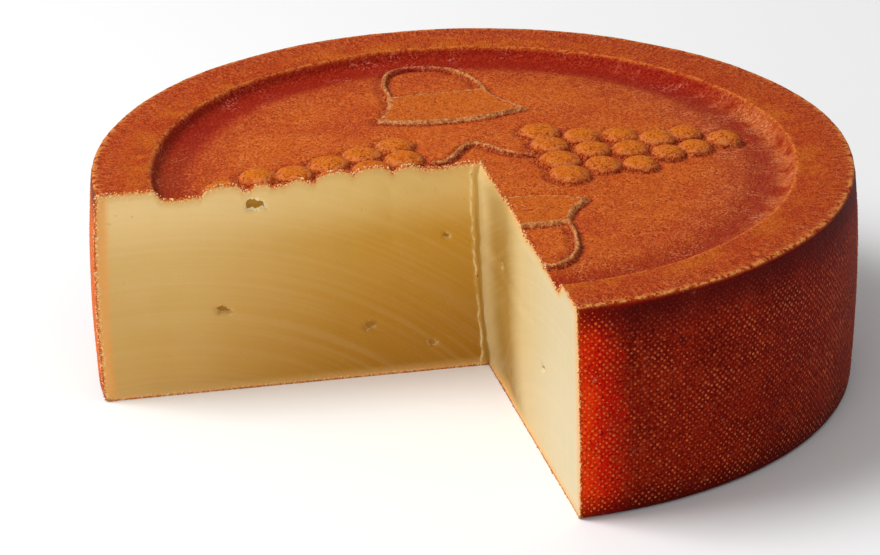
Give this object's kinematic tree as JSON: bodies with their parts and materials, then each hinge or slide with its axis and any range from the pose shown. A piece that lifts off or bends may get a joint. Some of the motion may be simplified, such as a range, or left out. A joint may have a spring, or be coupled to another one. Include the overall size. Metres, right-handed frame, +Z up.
{
  "type": "cheese wheel",
  "caption": "Washed-rind cheese wheel with a raised rim and a moulded top, with a quarter cut out to show the pale paste.",
  "frame": {"origin": "middle of the base circle, on the wheel's axis, in the plane that the wheel rests on", "axes": "+Z up along the wheel's axis; the cut opening faces the quarter between -X and -Y"},
  "size_m": [0.3028, 0.3029, 0.0894],
  "materials": {
    "rind": "satin washed rind, orange-brown, over a pale cream paste on the cut faces"
  },
  "bodies": {
    "root": {"cheese_wheel": "rind"}
  },
  "joints": []
}
